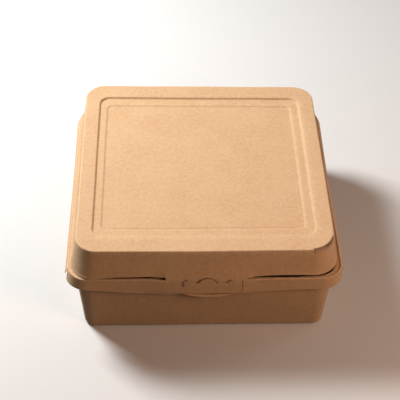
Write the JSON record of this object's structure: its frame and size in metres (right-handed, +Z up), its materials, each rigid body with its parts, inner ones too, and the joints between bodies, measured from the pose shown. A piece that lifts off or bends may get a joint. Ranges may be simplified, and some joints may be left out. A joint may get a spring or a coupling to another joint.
{
  "type": "kraft paperboard hinged lunch box",
  "caption": "Square takeaway box pressed from kraft paperboard: a tapered tray with a turned-down front band, and a back-hinged lid with a stepped recess and a front closing tab.",
  "frame": {"origin": "middle of the tray's flat underside, on the surface that the box stands on", "axes": "+Z up, -Y towards the front edge with the closing tab, +X to the right as seen from the front"},
  "size_m": [0.2308, 0.2373, 0.0941],
  "materials": {
    "kraft_board": "matte unbleached kraft, fine fibre"
  },
  "bodies": {
    "tray": {"base_tray": "kraft_board"},
    "lid": {"lid": "kraft_board"}
  },
  "joints": [
    {"name": "lid_hinge", "type": "hinge", "parent": "tray", "child": "lid", "pos_m": [0, 0.11715, 0.06795], "axis": [-1, 0, 0], "range_deg": [0, 180]}
  ]
}
